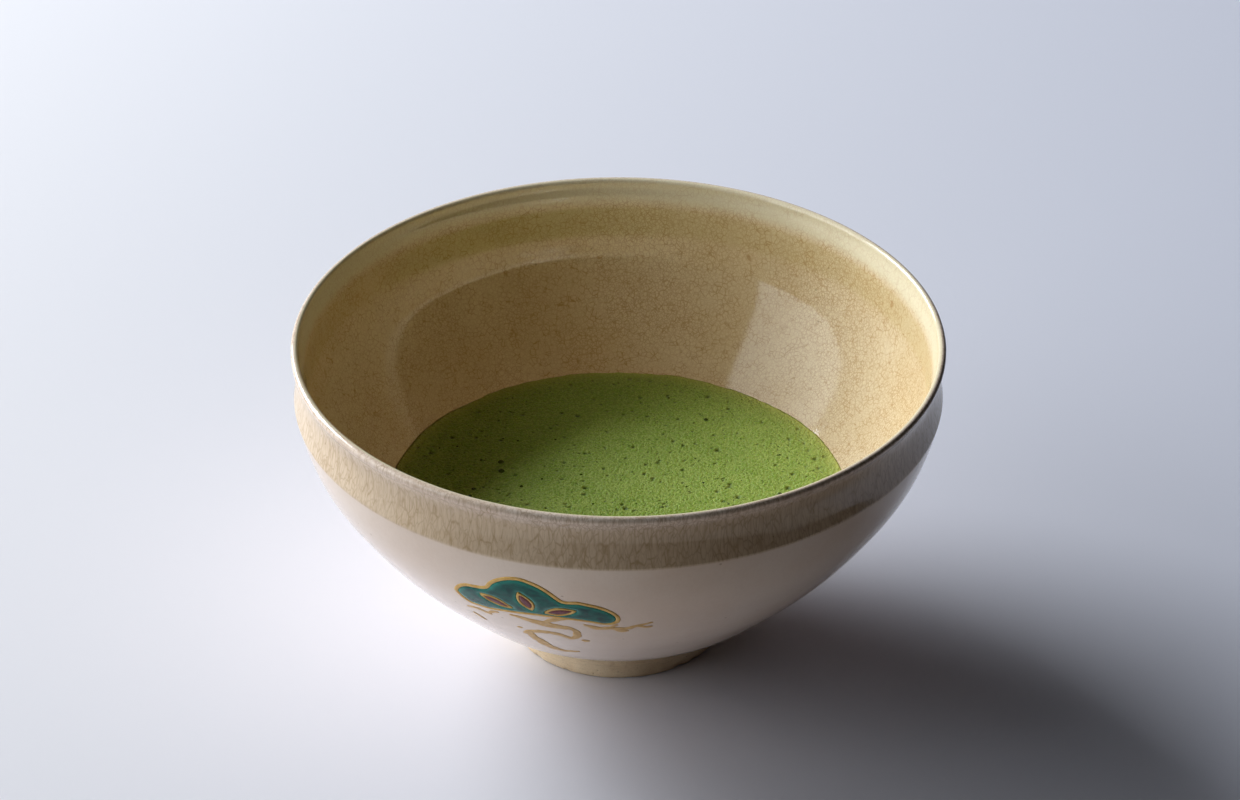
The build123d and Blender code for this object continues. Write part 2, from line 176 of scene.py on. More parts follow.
def lathe(name, seen, back, columns, seam, uneven=1.0, edge=None):
    """A closed ring-shaped solid: seen rows outside, back rows behind them.

    seen and back are section lines in mm that start at the same end. The
    mesh's columns run round +Z from the seam's azimuth. edge, if given, is a
    function of the azimuth that slides the first rows along the section."""
    ang = seam + np.linspace(0, 2 * np.pi, columns, endpoint=False)
    rows = len(seen)
    d = np.gradient(seen, axis=0)
    d /= np.hypot(d[:, 0], d[:, 1])[:, None]
    nrm = np.stack([d[:, 1], -d[:, 0]], -1)
    r = np.repeat(seen[:, 0:1], columns, 1)
    h = np.repeat(seen[:, 1:2], columns, 1)
    if edge is not None:
        fade = np.clip(1 - np.arange(rows) / 14.0, 0, 1)[:, None] ** 1.5
        slide = edge(ang)[None, :] * fade
        r, h = r + slide * d[:, 0:1], h + slide * d[:, 1:2]
    a = np.repeat(ang[None, :], rows, 0)
    push = uneven * wobble(r, h, a)
    r2, h2 = r + push * nrm[:, 0:1], h + push * nrm[:, 1:2]
    top = np.stack([r2 * np.sin(a), -r2 * np.cos(a), h2], -1)
    normals = ring_normals(top)
    rb = np.repeat(back[:, 0:1], columns, 1)
    hb = np.repeat(back[:, 1:2], columns, 1)
    if edge is not None:
        fade_b = np.clip(1 - np.arange(len(back)) / (14.0 * len(back) / rows), 0, 1)[:, None] ** 1.5
        db = np.gradient(back, axis=0)
        db /= np.hypot(db[:, 0], db[:, 1])[:, None]
        rb, hb = rb + edge(ang)[None, :] * fade_b * db[:, 0:1], hb + edge(ang)[None, :] * fade_b * db[:, 1:2]
    ab = np.repeat(ang[None, :], len(back), 0)
    under = np.stack([rb * np.sin(ab), -rb * np.cos(ab), hb], -1)[::-1]
    grid = np.concatenate([top, under])
    total = len(grid)
    verts = grid.reshape(-1, 3) * MM
    faces = []
    for i in range(total):
        j = (i + 1) % total
        for k in range(columns):
            m = (k + 1) % columns
            faces.append((i * columns + k, i * columns + m, j * columns + m, j * columns + k))
    obj = new_object(name, verts, faces)
    s = np.concatenate([[0], np.cumsum(np.hypot(*np.diff(seen, axis=0).T))])
    flow = np.zeros((total, columns, 3))
    flow[:rows, :, 0] = r * np.sin(a)
    flow[:rows, :, 1] = -r * np.cos(a)
    flow[:rows, :, 2] = s[:, None]
    numbers(obj, "flow", flow.reshape(-1, 3))
    radius = np.zeros((total, columns))
    radius[:rows] = h
    numbers(obj, "height", radius.ravel())
    full = np.concatenate([normals, -ring_normals(under)[::1]])
    under_n = np.cross(np.roll(under, -1, 1) - np.roll(under, 1, 1), np.gradient(under, axis=0))
    under_n /= np.maximum(np.linalg.norm(under_n, axis=2, keepdims=True), 1e-12)
    full[rows:] = under_n
    obj.data.normals_split_custom_set_from_vertices(full.reshape(-1, 3))
    return obj


def capped_lathe(name, section, columns, dent=None):
    """A solid of revolution whose section starts and ends on the axis."""
    ang = np.linspace(0, 2 * np.pi, columns, endpoint=False)
    inner = section[1:-1]
    r = np.repeat(inner[:, 0:1], columns, 1)
    h = np.repeat(inner[:, 1:2], columns, 1)
    a = np.repeat(ang[None, :], len(inner), 0)
    if dent is not None:
        d = np.gradient(section, axis=0)[1:-1]
        d /= np.maximum(np.hypot(d[:, 0], d[:, 1]), 1e-9)[:, None]
        push = dent(r, h, a)
        r, h = r + push * d[:, 1:2], h - push * d[:, 0:1]
    grid = np.stack([r * np.sin(a), -r * np.cos(a), h], -1)
    verts = [(0, 0, section[0][1])] + list(map(tuple, grid.reshape(-1, 3))) + [(0, 0, section[-1][1])]
    rows, last = len(inner), 1 + len(inner) * columns
    faces = []
    for k in range(columns):
        m = (k + 1) % columns
        faces.append((0, 1 + m, 1 + k))
        faces.append((last, 1 + (rows - 1) * columns + k, 1 + (rows - 1) * columns + m))
        for i in range(rows - 1):
            faces.append((1 + i * columns + k, 1 + i * columns + m,
                          1 + (i + 1) * columns + m, 1 + (i + 1) * columns + k))
    return new_object(name, np.array(verts) * MM, faces)


# ------------------------------------------------------------ node materials
class Nodes:
    def __init__(self, name):
        self.m = bpy.data.materials.new(name)
        self.m.use_nodes = True
        self.t = self.m.node_tree
        self.t.nodes.clear()
        self.out = self.t.nodes.new("ShaderNodeOutputMaterial")

    def add(self, kind, **given):
        n = self.t.nodes.new("ShaderNode" + kind)
        for k, v in given.items():
            if hasattr(n, k) and k not in n.inputs:
                setattr(n, k, v)
        return n

    def put(self, socket, value):
        if hasattr(value, "is_output"):
            self.t.links.new(value, socket)
        else:
            socket.default_value = value

    def math(self, op, a, b=0.0, c=0.0, clamp=False):
        n = self.t.nodes.new("ShaderNodeMath")
        n.operation, n.use_clamp = op, clamp
        for s, v in zip(n.inputs, (a, b, c)):
            self.put(s, v)
        return n.outputs[0]

    def vmath(self, op, a, b=(0, 0, 0), scale=None):
        n = self.t.nodes.new("ShaderNodeVectorMath")
        n.operation = op
        self.put(n.inputs[0], a)
        if op == "SCALE":
            self.put(n.inputs["Scale"], scale)
        else:
            self.put(n.inputs[1], b)
        return n.outputs[0]

    def mix(self, f, a, b, blend="MIX"):
        n = self.t.nodes.new("ShaderNodeMix")
        n.data_type, n.blend_type, n.clamp_factor = "RGBA", blend, True
        self.put(n.inputs[0], f)
        self.put(n.inputs[6], a)
        self.put(n.inputs[7], b)
        return n.outputs[2]

    def span(self, v, a, b, c=0.0, d=1.0, smooth=True):
        n = self.t.nodes.new("ShaderNodeMapRange")
        n.interpolation_type = "SMOOTHSTEP" if smooth else "LINEAR"
        n.clamp = True
        for k, x in zip(("Value", "From Min", "From Max", "To Min", "To Max"), (v, a, b, c, d)):
            self.put(n.inputs[k], x)
        return n.outputs[0]

    def noise(self, vec, scale, detail=3.0, rough=0.5, distort=0.0):
        n = self.t.nodes.new("ShaderNodeTexNoise")
        self.put(n.inputs["Vector"], vec)
        n.inputs["Scale"].default_value = scale
        n.inputs["Detail"].default_value = detail
        n.inputs["Roughness"].default_value = rough
        n.inputs["Distortion"].default_value = distort
        return n

    def voronoi(self, vec, scale, feature="F1", randomness=1.0):
        n = self.t.nodes.new("ShaderNodeTexVoronoi")
        n.feature = feature
        self.put(n.inputs["Vector"], vec)
        n.inputs["Scale"].default_value = scale
        n.inputs["Randomness"].default_value = randomness
        return n

    def attribute(self, name):
        n = self.t.nodes.new("ShaderNodeAttribute")
        n.attribute_name = name
        return n

    def place(self):
        """Position on the piece in mm."""
        return self.vmath("SCALE", self.t.nodes.new("ShaderNodeTexCoord").outputs["Object"], scale=1000.0)

    def bump(self, height, strength, distance, normal=None):
        n = self.t.nodes.new("ShaderNodeBump")
        n.inputs["Strength"].default_value = strength
        n.inputs["Distance"].default_value = distance
        self.put(n.inputs["Height"], height)
        if normal is not None:
            self.put(n.inputs["Normal"], normal)
        return n.outputs[0]

    def shader(self, **values):
        n = self.t.nodes.new("ShaderNodeBsdfPrincipled")
        for k, v in values.items():
            self.put(n.inputs[k.replace("_", " ")], v)
        self.t.links.new(n.outputs[0], self.out.inputs["Surface"])
        return self.m


def srgb(r, g, b):
    def f(v):
        v /= 255.0
        return v / 12.92 if v <= 0.04045 else ((v + 0.055) / 1.055) ** 2.4
    return (f(r), f(g), f(b), 1.0)


def glaze_material(name, pale, deep, stain, stretch, sizes, line, band=None, lip=None, quiet=None, hatch=0.0):
    """Glossy crackled glaze: two creams that drift, and nets of stained hair cracks.

    sizes are cells per mm of the coarse and the fine net, stretch how much the
    cells are drawn out up the wall. band is (low, high, colour, amount, soft) between
    two heights, lip (low, high, colour) the colour towards the rim, and quiet
    (low, high, below, above) fades the cracks between two heights."""
    n = Nodes(name)
    flow = n.attribute("flow").outputs["Vector"]
    height = n.attribute("height").outputs["Fac"]
    squeezed = n.vmath("MULTIPLY", flow, (1.0, 1.0, stretch))
    bend = n.noise(squeezed, 0.5, 2.0).outputs["Color"]
    bend = n.vmath("SCALE", n.vmath("SUBTRACT", bend, (0.5, 0.5, 0.5)), scale=0.55)
    fine_bend = n.noise(squeezed, 1.9, 1.0).outputs["Color"]
    fine_bend = n.vmath("SCALE", n.vmath("SUBTRACT", fine_bend, (0.5, 0.5, 0.5)), scale=0.12)
    where = n.vmath("ADD", n.vmath("ADD", squeezed, bend), fine_bend)
    big = n.voronoi(where, sizes[0], "DISTANCE_TO_EDGE").outputs["Distance"]
    small = n.voronoi(where, sizes[1], "DISTANCE_TO_EDGE").outputs["Distance"]
    patch = n.noise(flow, 0.08, 3.0).outputs["Fac"]
    fine_patch = n.noise(flow, 0.45, 3.0).outputs["Fac"]
    big_line = n.math("MULTIPLY", n.span(big, 0.0, 0.075, 1.0, 0.0), n.span(fine_patch, 0.35, 0.62, 0.30, 1.0))
    small_line = n.math("MULTIPLY", n.span(small, 0.0, 0.11, 1.0, 0.0), n.span(patch, 0.38, 0.62, 0.40, 0.85))
    halo = n.math("MULTIPLY", n.span(big, 0.0, 0.26, 1.0, 0.0), n.span(fine_patch, 0.4, 0.7, 0.03, 0.16))
    crack = n.math("MAXIMUM", big_line, small_line)
    if quiet is not None:
        loud = n.span(height, *quiet)
        crack = n.math("MULTIPLY", crack, loud)
        halo = n.math("MULTIPLY", halo, loud)
    drift = n.noise(flow, 0.035, 4.0, 0.55).outputs["Fac"]
    base = n.mix(n.span(drift, 0.36, 0.66), pale, deep)
    if band is not None:
        low, high, colour, amount, soft = band
        inside = n.math("MULTIPLY", n.span(height, low, low + soft), n.span(height, high - 1.6, high, 1.0, 0.0))
        base = n.mix(n.math("MULTIPLY", inside, amount), base, colour)
    if lip is not None:
        base = n.mix(n.span(height, lip[0], lip[1]), base, lip[2])
    fine = n.noise(n.vmath("MULTIPLY", flow, (1.0, 1.0, 0.07)), 2.1, 2.0, 0.6).outputs["Fac"]
    fine = n.math("MULTIPLY", n.span(fine, 0.46, 0.62), hatch)
    if quiet is not None:
        fine = n.math("MULTIPLY", fine, loud)
    base = n.mix(fine, base, stain)
    mottle = n.noise(flow, 1.1, 3.0, 0.6).outputs["Fac"]
    base = n.mix(n.span(mottle, 0.45, 0.75, 0.0, 0.04), base, stain)
    base = n.mix(halo, base, stain)
    base = n.mix(n.math("MULTIPLY", crack, line), base, tuple(c * 0.85 for c in stain[:3]) + (1.0,))
    speck = n.voronoi(flow, 0.16).outputs["Distance"]
    base = n.mix(n.span(speck, 0.025, 0.055, 0.40, 0.0), base, srgb(150, 112, 62))
    relief = n.math("MULTIPLY", n.noise(flow, 0.7, 2.0).outputs["Fac"], 0.5)
    relief = n.math("SUBTRACT", relief, n.math("MULTIPLY", crack, 0.12))
    rough = n.span(n.noise(flow, 0.5, 3.0).outputs["Fac"], 0.3, 0.7, 0.03, 0.06)
    return n.shader(Base_Color=base, Roughness=rough, IOR=1.54,
                    Normal=n.bump(relief, 0.06, 0.0002))


def clay_material(name, light, dark):
    """Bare fired clay: sandy grain, darker pinholes, dull."""
    n = Nodes(name)
    p = n.place()
    drift = n.noise(p, 0.12, 4.0, 0.6).outputs["Fac"]
    base = n.mix(n.span(drift, 0.35, 0.68), light, dark)
    grain = n.noise(p, 3.2, 3.0, 0.65).outputs["Fac"]
    base = n.mix(n.span(grain, 0.48, 0.78, 0.0, 0.28), base, srgb(150, 116, 72))
    turned = n.noise(n.vmath("MULTIPLY", p, (0.25, 0.25, 2.6)), 1.1, 3.0).outputs["Fac"]
    base = n.mix(n.span(turned, 0.52, 0.70, 0.0, 0.22), base, srgb(170, 132, 84))
    pits = n.voronoi(p, 0.55).outputs["Distance"]
    base = n.mix(n.span(pits, 0.04, 0.11, 0.55, 0.0), base, srgb(126, 88, 46))
    pale = n.voronoi(p, 0.9).outputs["Distance"]
    base = n.mix(n.span(pale, 0.06, 0.16, 0.5, 0.0), base, srgb(226, 210, 176))
    h = n.math("ADD", n.math("MULTIPLY", grain, 0.5), n.math("MULTIPLY", n.span(pits, 0.08, 0.24), 0.6))
    return n.shader(Base_Color=base, Roughness=0.86, IOR=1.45, Normal=n.bump(h, 0.5, 0.0002))


GLAZE_OUT = glaze_material("glaze_outside", srgb(247, 229, 213), srgb(241, 219, 200), srgb(182, 146, 100),
                           0.20, (0.62, 1.25), 0.52, (53.9, 63.6, srgb(217, 191, 152), 0.62, 0.6), None,
                           (53.9, 54.7, 0.05, 1.0), 0.20)
GLAZE_IN = glaze_material("glaze_inside", srgb(245, 224, 187), srgb(236, 212, 170), srgb(198, 144, 82), 0.80,
                          (0.95, 1.6), 0.66, (52.4, 60.6, srgb(213, 190, 128), 0.38, 2.6),
                          (59.7, 62.0, srgb(247, 234, 202)), (59.8, 62.0, 1.0, 0.35), 0.04)
CLAY = clay_material("bare_clay", srgb(247, 224, 188), srgb(232, 204, 164))

# ------------------------------------------------------------------ the bowl
COLS = 512
outer_seen = np.concatenate([belly, neck[1:], lip_out[1:]])
clay_belly = pushed(belly, -GLAZE_T)
outer_back = np.concatenate([clay_belly[::4][:-1], pushed(neck, -GLAZE_T)[3::4],
                             arc(LIP_R, LIP_H, LIP_ROUND - GLAZE_T, 0, 90, 5)])
outer_back[0] = clay_belly[0]


def glaze_edge(ang):
    c, s = np.cos(ang), np.sin(ang)
    p = np.stack([c * 24, s * 24, 0 * c], -1)
    return 0.45 * vnoise(p, 9.0, 21) + 0.25 * vnoise(p, 3.0, 22)


glaze_outside = lathe("glaze_outside", outer_seen, outer_back, COLS, math.radians(90), edge=glaze_edge)
glaze_outside.data.materials.append(GLAZE_OUT)

inner_seen = np.concatenate([lip_in, hollow[1:-1], [[0.25, 10.5]]])
inner_back = np.concatenate([arc(LIP_R, LIP_H, LIP_ROUND - GLAZE_T, 90, 180, 5),
                             pushed(hollow, -GLAZE_T)[3:-1:4], [[0.25, 10.5 - GLAZE_T]]])
glaze_inside = lathe("glaze_inside", inner_seen, inner_back, COLS, math.radians(0))
glaze_inside.data.materials.append(GLAZE_IN)

under = spline([(0.0, WELL_UNDER), (6.0, WELL_UNDER - 0.09), (11.5, FOOT_H + 0.2), (FOOT_IN_TOP, FOOT_H)],
               (1.0, 0.0), (1.0, -0.09), 0.8)


def straight(a, b, step):
    n = max(2, int(round(math.hypot(b[0] - a[0], b[1] - a[1]) / step)) + 1)
    return np.stack([np.linspace(a[0], b[0], n), np.linspace(a[1], b[1], n)], -1)


clay_section = np.concatenate([
    under, straight((FOOT_IN_TOP, FOOT_H), (FOOT_R_TOP, FOOT_H), 1.5)[1:],
    straight((FOOT_R_TOP, FOOT_H), FOOT_CORNER, 0.3)[1:],
    straight(FOOT_CORNER, tuple(clay_belly[0]), 0.3)[1:],
    clay_belly[1::3], pushed(neck, -GLAZE_T)[1::4],
    arc(LIP_R, LIP_H, LIP_ROUND - GLAZE_T - 0.02, 0, 180, 9),
    pushed(hollow, -GLAZE_T)[2:-1:3], [[0.0, 10.5 - GLAZE_T]]])


def clay_dent(r, h, a):
    p = np.stack([r * np.sin(a), -r * np.cos(a), h], -1)
    bare = np.clip(1 - (h - 7.5) / 1.0, 0, 1) * np.clip((r - 2) / 3, 0, 1)
    seen = np.where(r > 21.0, 1.0, 0.6) * bare
    return seen * (0.05 * vnoise(p, 2.2, 31) + 0.035 * vnoise(p, 0.9, 32)) - 0.02


clay_wall = capped_lathe("clay_wall", clay_section, 256, clay_dent)
clay_wall.data.materials.append(CLAY)


# the foot ring, with the pits, nicks and chips of bare clay that was cut
def foot_mesh():
    cols = 420
    lo = arc(FOOT_R_BASE - FOOT_EDGE, FOOT_EDGE, FOOT_EDGE, -90, 0, 6)
    li = arc(FOOT_IN_BASE + FOOT_EDGE, FOOT_EDGE, FOOT_EDGE, 180, 270, 6)
    section = np.concatenate([
        straight((FOOT_IN_BASE + FOOT_EDGE, 0), (FOOT_R_BASE - FOOT_EDGE, 0), 0.45)[:-1], lo,
        straight((FOOT_R_BASE + 0.08, FOOT_EDGE + 0.25), (FOOT_R_TOP, FOOT_H), 0.28),
        straight((FOOT_R_TOP, FOOT_H), (FOOT_IN_TOP, FOOT_H), 1.4)[1:-1],
        straight((FOOT_IN_TOP, FOOT_H), (FOOT_IN_BASE, FOOT_EDGE), 0.5)[:-1], li[:-1]])
    ang = np.linspace(0, 2 * np.pi, cols, endpoint=False)
    d = np.roll(section, -1, 0) - np.roll(section, 1, 0)
    d /= np.hypot(d[:, 0], d[:, 1])[:, None]
    r = np.repeat(section[:, 0:1], cols, 1)
    h = np.repeat(section[:, 1:2], cols, 1)
    a = np.repeat(ang[None, :], len(section), 0)
    p = np.stack([r * np.sin(a), -r * np.cos(a), h], -1)
    push = 0.055 * vnoise(p, 2.4, 41) + 0.035 * vnoise(p, 0.8, 42) + 0.02 * vnoise(p, 0.4, 43)
    rng = np.random.default_rng(7)
    for _ in range(70):
        t, hh, size = rng.uniform(0, 2 * np.pi), rng.uniform(0.3, 4.9), rng.uniform(0.14, 0.42)
        c = np.array([21.3 * math.sin(t), -21.3 * math.cos(t), hh])
        q = np.linalg.norm(p - c, axis=2) / size
        push -= rng.uniform(0.06, 0.2) * np.clip(1 - q * q, 0, 1)
    # larger chips along the standing edge; one is in front, to the right
    for t, size, deep in ((0.62, 1.5, 0.42), (0.80, 0.9, 0.3), (-0.5, 0.8, 0.25), (-0.85, 1.1, 0.28), (2.2, 1.3, 0.4),
                          (3.9, 1.0, 0.35), (4.6, 1.6, 0.35), (0.1, 0.6, 0.2)):
        c = np.array([20.95 * math.sin(t), -20.95 * math.cos(t), 0.25])
        q = np.linalg.norm((p - c) * np.array([1, 1, 1.5]), axis=2) / size
        push -= deep * np.clip(1 - q * q, 0, 1) ** 0.7 * (1 + 0.4 * vnoise(p, 0.6, 44))
    push = np.where(h > FOOT_H - 0.02, -0.02, push)
    floor_keep = np.clip(h / 0.5, 0, 1)
    push = np.where(h < 0.02, np.minimum(push, 0) * 0.5, push * (0.35 + 0.65 * floor_keep))
    r2, h2 = r + push * d[:, 1:2], h - push * d[:, 0:1]
    h2 = np.maximum(h2, 0.0)
    grid = np.stack([r2 * np.sin(a), -r2 * np.cos(a), h2], -1)
    rows = len(section)
    faces = []
    for i in range(rows):
        j = (i + 1) % rows
        for k in range(cols):
            m = (k + 1) % cols
            faces.append((i * cols + k, i * cols + m, j * cols + m, j * cols + k))
    return new_object("foot", grid.reshape(-1, 3) * MM, faces)


foot = foot_mesh()
foot.data.materials.append(CLAY)


# ------------------------------------------------------------------ the foam
def inner_radius(h):
    q = hollow[::-1]
    return np.interp(h, q[:, 1], q[:, 0])


def foam_material():
    n = Nodes("foam")
    p = n.place()
    flat = n.vmath("MULTIPLY", p, (1.0, 1.0, 0.0))
    cells = n.voronoi(flat, 1.45)
    tiny = n.voronoi(flat, 3.1)
    ring = n.span(cells.outputs["Distance"], 0.30, 0.62)
    ring2 = n.span(tiny.outputs["Distance"], 0.25, 0.60)
    drift = n.noise(flat, 0.05, 4.0, 0.6).outputs["Fac"]
    base = n.mix(n.span(drift, 0.35, 0.66), srgb(178, 212, 92), srgb(158, 195, 76))
    # Painted highlight and painted shade of the micro-bubbles: lighter towards the edges of the larger cells, darker
    # towards the edges of the tiny cells.
    base = n.mix(n.math("MULTIPLY", ring, 0.50), base, srgb(206, 222, 128))
    base = n.mix(n.math("MULTIPLY", ring2, 0.50), base, srgb(106, 134, 44))
    # Painted shade: scattered dots and the dimpled pits are painted dark green, the shade inside the bubble pits.
    dots = n.voronoi(flat, 0.85)
    keep = n.span(n.noise(flat, 0.16, 2.0).outputs["Fac"], 0.40, 0.56, 0.40, 1.0)
    hole = n.math("MULTIPLY", n.span(dots.outputs["Distance"], 0.09, 0.20, 1.0, 0.0), keep)
    pit = n.attribute("pit").outputs["Fac"]
    hole = n.math("MAXIMUM", n.math("MULTIPLY", hole, 0.75), pit)
    base = n.mix(n.math("MULTIPLY", hole, 0.85), base, srgb(54, 76, 18))
    # Painted light: the foam is painted lighter and yellower near the wall, light on the meniscus that also lifts its
    # own shade.
    edge = n.attribute("edge").outputs["Fac"]
    base = n.mix(n.math("MULTIPLY", edge, 0.75), base, srgb(218, 216, 112))
    h = n.math("ADD", n.math("MULTIPLY", ring, -0.5), n.math("MULTIPLY", ring2, -0.3))
    h = n.math("SUBTRACT", h, n.math("MULTIPLY", hole, 1.2))
    return n.shader(Base_Color=base, Roughness=0.42, IOR=1.36, Normal=n.bump(h, 0.8, 0.0003))


def foam_mesh():
    rings, cols = 118, 760
    ang = np.linspace(0, 2 * np.pi, cols, endpoint=False)
    pe = np.stack([np.cos(ang) * 44, np.sin(ang) * 44, 0 * ang], -1)
    climb = 0.26 + 0.10 * vnoise(pe, 13.0, 51) + 0.05 * vnoise(pe, 5.0, 52)
    t = np.linspace(0, 1, rings + 1)[1:]
    rr = t[:, None] * np.ones(cols)[None, :]
    edge_h = FOAM_TOP + climb
    edge_r = inner_radius(edge_h) + 0.03
    r = rr * edge_r[None, :]
    a = np.repeat(ang[None, :], rings, 0)
    p = np.stack([r * np.sin(a), -r * np.cos(a), 0 * r], -1)
    z = FOAM_TOP + 0.10 * vnoise(p, 7.0, 53) + 0.06 * vnoise(p, 2.6, 54) + 0.035 * vnoise(p, 1.1, 55)
    away = edge_r[None, :] - r
    z = z + climb[None, :] * np.exp(-away / 0.9)
    # pit marks the dimpled bubble pits, which the foam material paints dark as painted shade.
    pit = np.zeros_like(z)
    rng = np.random.default_rng(12)
    for _ in range(330):
        rad, th = 43.5 * math.sqrt(rng.uniform(0, 1)), rng.uniform(0, 2 * np.pi)
        size = rng.choice([0.26, 0.34, 0.45, 0.60], p=[0.42, 0.34, 0.18, 0.06])
        x, y = rad * math.sin(th), -rad * math.cos(th)
        q = np.hypot(p[..., 0] - x, p[..., 1] - y) / size
        near = np.clip(1 - q * q, 0, 1)
        z -= size * 0.55 * near
        z += 0.05 * np.clip(1 - np.abs(q - 1.15) / 0.35, 0, 1)
        pit = np.maximum(pit, near ** 0.6)
    base = 26.75
    rb = np.repeat(inner_radius(np.array([base])), cols) - 0.02
    verts = [(0, 0, FOAM_TOP)]
    verts += list(map(tuple, np.stack([p[..., 0], p[..., 1], z], -1).reshape(-1, 3)))
    verts += list(map(tuple, np.stack([rb * np.sin(ang), -rb * np.cos(ang), base + 0 * ang], -1)))
    verts += [(0, 0, base)]
    faces = []
    last = 1 + rings * cols
    for k in range(cols):
        m = (k + 1) % cols
        faces.append((0, 1 + k, 1 + m))
        for i in range(rings - 1):
            faces.append((1 + i * cols + k, 1 + (i + 1) * cols + k, 1 + (i + 1) * cols + m, 1 + i * cols + m))
        faces.append((1 + (rings - 1) * cols + k, last + k, last + m, 1 + (rings - 1) * cols + m))
        faces.append((last + k, last + cols, last + m))
    obj = new_object("foam", np.array(verts) * MM, faces)
    zeros = [0.0] * (cols + 1)
    numbers(obj, "pit", np.concatenate([[0.0], pit.ravel(), zeros]))
    # edge, strongest at the wall, is where the foam material paints a lighter band, painted light on the meniscus.
    numbers(obj, "edge", np.concatenate([[0.0], np.exp(-away / 1.7).ravel(), zeros]))
    return obj


foam = foam_mesh()
foam.data.materials.append(foam_material())


def bubble_material():
    n = Nodes("bubble_film_shade")
    p = n.place()
    # Painted shade: the bubble domes are painted dark green, the shade seen through each film into its hollow; the
    # gloss is the film's own.
    base = n.mix(n.noise(p, 2.0, 2.0).outputs["Fac"], srgb(40, 56, 14), srgb(84, 104, 34))
    return n.shader(Base_Color=base, Roughness=0.06, IOR=1.33)


def bubbles_mesh():
    rng = np.random.default_rng(31)
    spots = [(-23.2, 11.6, 0.62), (-23.0, 8.3, 0.66), (-28.3, 1.9, 0.50), (-28.9, -0.5, 0.42), (17.6, 27.4, 0.42),
             (31.6, 0.4, 0.46), (33.6, -0.2, 0.44), (-19.0, 3.0, 0.34)]
    while len(spots) < 46:
        rad, th = 42.5 * math.sqrt(rng.uniform(0, 1)), rng.uniform(0, 2 * np.pi)
        spots.append((rad * math.sin(th), -rad * math.cos(th), rng.uniform(0.16, 0.32)))
    verts, faces = [], []
    for x, y, size in spots:
        first = len(verts)
        rows, cols = 6, 18
        verts.append((x, y, FOAM_TOP - 0.05 + size * 0.62))
        for i in range(1, rows + 1):
            t = i / rows * math.pi * 0.5
            for k in range(cols):
                a = 2 * math.pi * k / cols
                verts.append((x + size * math.sin(t) * math.cos(a), y + size * math.sin(t) * math.sin(a),
                              FOAM_TOP - 0.05 + size * 0.62 * math.cos(t)))
        verts.append((x, y, FOAM_TOP - 0.35))
        last = len(verts) - 1
        for k in range(cols):
            m = (k + 1) % cols
            faces.append((first, first + 1 + k, first + 1 + m))
            for i in range(rows - 1):
                o = first + 1 + i * cols
                faces.append((o + k, o + cols + k, o + cols + m, o + m))
            o = first + 1 + (rows - 1) * cols
            faces.append((o + k, last, o + m))
    return new_object("foam_bubbles", np.array(verts) * MM, faces)


bubbles = bubbles_mesh()
bubbles.data.materials.append(bubble_material())


def tea_material():
    n = Nodes("tea")
    p = n.place()
    base = n.mix(n.noise(p, 0.08, 3.0).outputs["Fac"], srgb(92, 112, 38), srgb(70, 92, 28))
    return n.shader(Base_Color=base, Roughness=0.12, IOR=1.34)


tea = nodes_cad["matcha_tea"]
tea.data.materials.clear()
tea.data.materials.append(tea_material())

# ---------------------------------------------------------- the painted pine
CLOUD = [(-15.9, 47.5), (-15.2, 49.3), (-14.2, 50.6), (-12.8, 51.5), (-11.3, 51.8), (-9.7, 52.1), (-8.6, 52.7),
         (-7.9, 54.0), (-6.8, 55.2), (-5.3, 56.3), (-3.5, 57.1), (-1.4, 57.4), (0.7, 56.8), (2.6, 55.8), (4.2, 54.4),
         (5.5, 52.8), (6.4, 52.0), (7.6, 52.0), (9.2, 52.1), (10.9, 51.6), (12.6, 51.0), (14.2, 49.9), (15.5, 48.2),
         (16.0, 46.4), (15.6, 44.6), (14.3, 43.3), (12.5, 43.1), (10.6, 43.8), (8.0, 44.4), (5.2, 44.7), (2.4, 44.8),
         (-0.4, 44.7), (-3.2, 44.2), (-6.0, 43.7), (-8.9, 43.0), (-11.3, 43.0), (-13.4, 43.4), (-15.0, 45.2)]
WINDOWS = {
    "left": [(-10.1, 49.5), (-8.3, 49.4), (-6.6, 48.7), (-5.2, 47.6), (-4.0, 46.4), (-5.6, 46.5), (-7.2, 47.1),
             (-8.8, 48.1)],
    "centre": [(-2.1, 53.0), (-1.0, 52.4), (0.2, 51.2), (0.7, 49.7), (0.5, 48.2), (-0.2, 47.0), (-1.5, 47.9),
               (-2.5, 49.3), (-2.8, 51.2)],
    "right": [(2.1, 46.7), (3.2, 48.0), (4.7, 48.9), (6.4, 49.2), (8.3, 48.9), (7.2, 47.7), (5.6, 46.8), (3.8, 46.4)],
}
TRUNK = [
    [(-5.1, 42.4, 0.5), (-3.4, 42.1, 0.8), (-1.6, 41.4, 1.1), (0.1, 40.9, 1.5), (2.1, 40.5, 1.4),
     (3.9, 40.2, 1.2), (5.6, 39.9, 1.0), (6.5, 38.8, 0.9), (6.6, 36.9, 0.9), (5.9, 34.9, 0.85),
     (4.7, 33.6, 0.6)],
    [(5.1, 34.0, 0.8), (4.1, 34.6, 0.9), (2.7, 35.6, 1), (0.9, 36, 0.95), (-1.1, 35.6, 0.9), (-2.9, 34.4, 0.9),
     (-4.1, 32.7, 0.6)],
    [(-3.1, 33.9, 0.8), (-2.8, 31, 1.2), (-2.2, 28.3, 1.5), (-1.5, 25.2, 1.5), (-0.6, 23.3, 1.4), (0.4, 22.0, 1.3),
     (1.8, 21.6, 1.0), (4.1, 22.6, 0.4)],
    [(1, 41.1, 0.8), (2.5, 43, 0.8), (4.2, 44.2, 0.85), (5.9, 44.7, 0.4)],
]
LEFT_TWIGS = [
    [(-14.4, 40.4, 0.35), (-12.6, 40.9, 0.55), (-11.0, 40.4, 0.6), (-9.8, 39.9, 0.5)],
    [(-10.2, 40.0, 0.4), (-9.2, 41.4, 0.6), (-7.9, 42.1, 0.4)],
    [(-13.9, 37.4, 0.3), (-12.7, 36.0, 0.5), (-11.9, 34.9, 0.3)],
]
